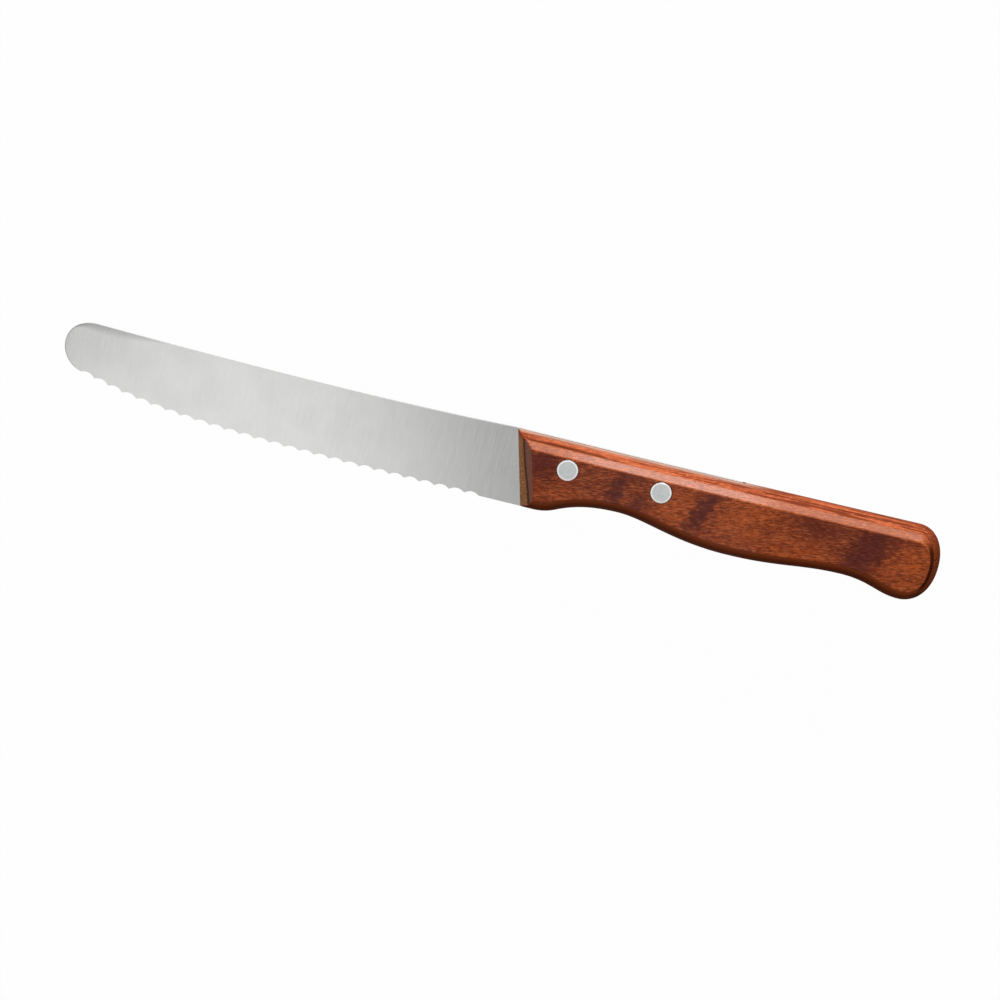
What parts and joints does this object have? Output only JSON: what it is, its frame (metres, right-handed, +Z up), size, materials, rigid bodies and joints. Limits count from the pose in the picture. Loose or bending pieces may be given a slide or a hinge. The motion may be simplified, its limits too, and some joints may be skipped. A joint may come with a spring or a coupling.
{
  "type": "brunch knife",
  "caption": "Small table knife with a broad round-nosed steel blade, a wave-ground edge and a shaped, chamfered hardwood handle held to a half tang by flush rivets.",
  "frame": {"origin": "under the middle of the knife's box, on the surface that the flat side of the handle lies on", "axes": "+X from the blade's tip to the handle's butt, +Y from the cutting edge to the spine, +Z up through the knife's thickness"},
  "size_m": [0.2254, 0.0204, 0.0136],
  "materials": {
    "blade_steel": "satin, fine brush lines across the blade",
    "handle_wood": "reddish brown figured hardwood, satin lacquer",
    "rivet_aluminium": "ground flush, satin"
  },
  "bodies": {
    "root": {"blade": "blade_steel", "handle": "handle_wood", "front_rivet_sleeve": "rivet_aluminium", "front_rivet_pin": "rivet_aluminium", "rear_rivet_sleeve": "rivet_aluminium", "rear_rivet_pin": "rivet_aluminium"}
  },
  "joints": []
}
